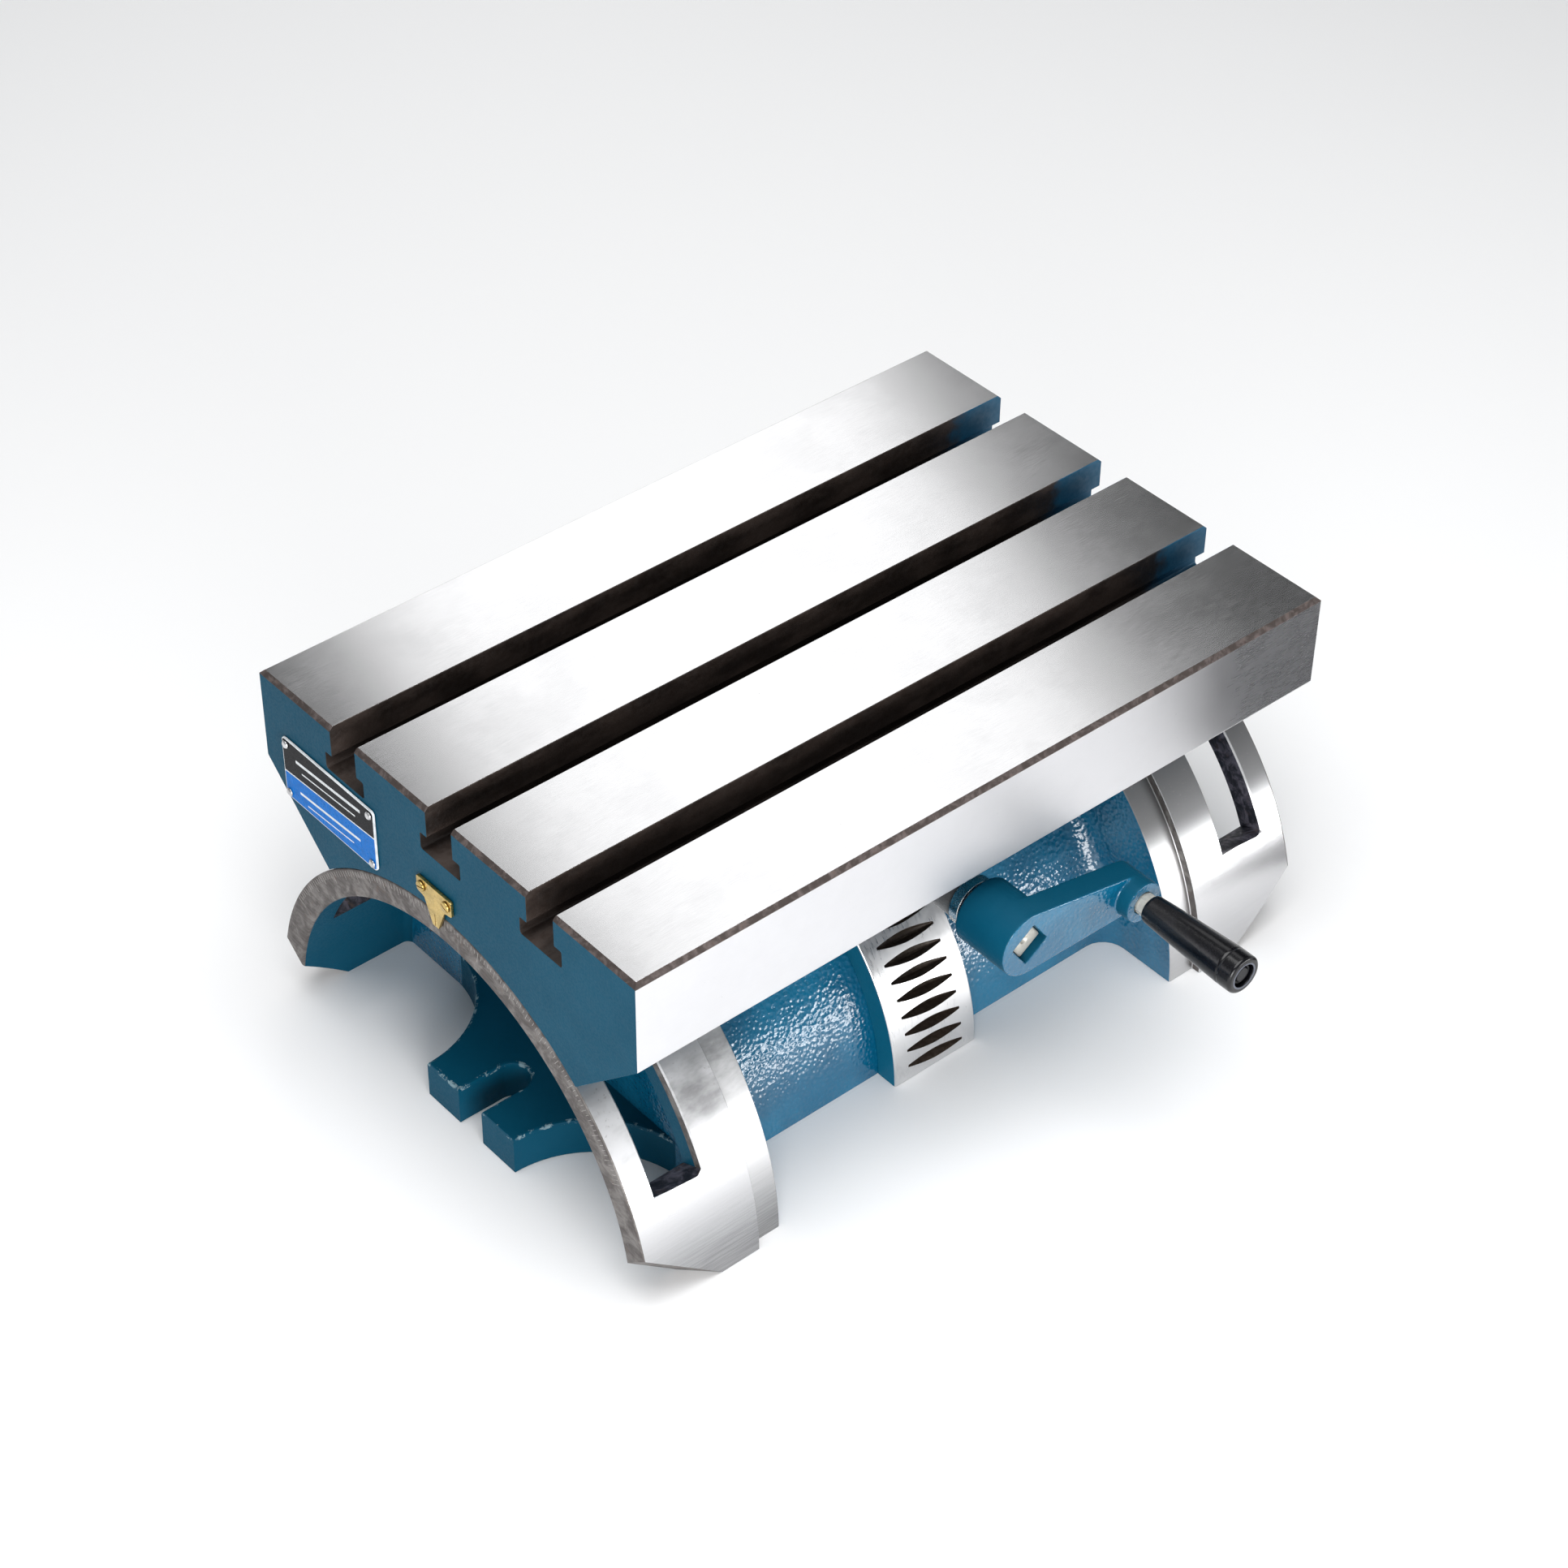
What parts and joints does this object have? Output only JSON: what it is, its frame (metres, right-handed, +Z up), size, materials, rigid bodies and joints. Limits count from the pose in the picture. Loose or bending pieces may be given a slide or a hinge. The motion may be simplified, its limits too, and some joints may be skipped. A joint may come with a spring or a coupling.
{
  "type": "tilting t-slot table",
  "caption": "Rectangular T-slot work table that tilts on two cylindrical saddles of its base, driven by a worm and a hand crank.",
  "frame": {"origin": "middle of the base's footprint, on its underside, at the foot of the central rib", "axes": "+X along the T-slots, from the nameplate end to the plain end; -Y towards the crank; +Z up through the table's top"},
  "size_m": [0.384, 0.3483, 0.184],
  "materials": {
    "painted_casting": "hammered blue enamel on cast iron, machined faces bare",
    "table_iron": "fine-ground top and sides, blue enamel on the ends",
    "wheel_iron": "turned rim with hobbed gashes, blue enamel on the sides",
    "steel": "turned steel",
    "black_steel": "black-oxide steel",
    "bronze": "bearing bronze",
    "brass": "stamped brass",
    "plate_enamel": "printed aluminium plate, black over blue",
    "rivet_alloy": "plain aluminium",
    "grip_plastic": "black moulded plastic",
    "felt": "oiled black felt"
  },
  "bodies": {
    "base": {"base_casting": "painted_casting", "worm_wheel_ring": "wheel_iron", "wheel_screw_1": "black_steel", "wheel_screw_2": "black_steel", "wheel_screw_3": "black_steel", "wheel_screw_4": "black_steel"},
    "table": {"table_casting": "table_iron", "clamp_washer_left_front": "black_steel", "clamp_washer_left_back": "black_steel", "clamp_washer_right_front": "black_steel", "clamp_washer_right_back": "black_steel", "nameplate": "plate_enamel", "nameplate_rivet_1": "rivet_alloy", "nameplate_rivet_2": "rivet_alloy", "nameplate_rivet_3": "rivet_alloy", "nameplate_rivet_4": "rivet_alloy", "index_pointer": "brass", "pointer_screw_1": "brass", "pointer_screw_2": "brass", "bearing_block_front": "painted_casting", "bearing_block_back": "painted_casting", "bush_front": "bronze", "bush_back": "bronze", "block_screw_front_left": "black_steel", "block_screw_front_right": "black_steel", "block_screw_back_left": "black_steel", "block_screw_back_right": "black_steel"},
    "crank": {"worm": "steel", "worm_pin": "steel", "worm_shaft": "steel", "thrust_washer_front": "steel", "thrust_washer_back": "steel", "front_collar": "steel", "felt_seal": "felt", "lock_nut": "black_steel", "crank_arm": "painted_casting", "crank_grub_screw": "black_steel", "handle_stud": "steel", "grip_nut": "steel"},
    "grip": {"handle_grip": "grip_plastic"},
    "clamp_left_front": {"clamp_bolt_left_front": "black_steel"},
    "clamp_left_back": {"clamp_bolt_left_back": "black_steel"},
    "clamp_right_front": {"clamp_bolt_right_front": "black_steel"},
    "clamp_right_back": {"clamp_bolt_right_back": "black_steel"}
  },
  "joints": [
    {"name": "table_tilt", "type": "hinge", "parent": "base", "child": "table", "pos_m": [0, 0, -0.002], "axis": [1, 0, 0], "range_deg": [-45, 45]},
    {"name": "crank_spin", "type": "hinge", "parent": "table", "child": "crank", "pos_m": [0, -0.121, 0.109], "axis": [0, -1, 0], "range_deg": [-3240, 3240]},
    {"name": "grip_spin", "type": "hinge", "parent": "crank", "child": "grip", "pos_m": [0.06005, -0.1619, 0.10248], "axis": [0, -1, 0], "continuous": true},
    {"name": "clamp_left_front_turn", "type": "hinge", "parent": "table", "child": "clamp_left_front", "pos_m": [-0.16515, -0.03093, 0.10585], "axis": [0, 0.2756, -0.9613], "range_deg": [0, 180]},
    {"name": "clamp_left_back_turn", "type": "hinge", "parent": "table", "child": "clamp_left_back", "pos_m": [-0.16515, 0.03093, 0.10585], "axis": [0, -0.2756, -0.9613], "range_deg": [0, 180]},
    {"name": "clamp_right_front_turn", "type": "hinge", "parent": "table", "child": "clamp_right_front", "pos_m": [0.16515, -0.03093, 0.10585], "axis": [0, 0.2756, -0.9613], "range_deg": [0, 180]},
    {"name": "clamp_right_back_turn", "type": "hinge", "parent": "table", "child": "clamp_right_back", "pos_m": [0.16515, 0.03093, 0.10585], "axis": [0, -0.2756, -0.9613], "range_deg": [0, 180]}
  ],
  "couplings": [
    {"joint": "crank_spin", "follows": "table_tilt", "ratio": 72}
  ]
}
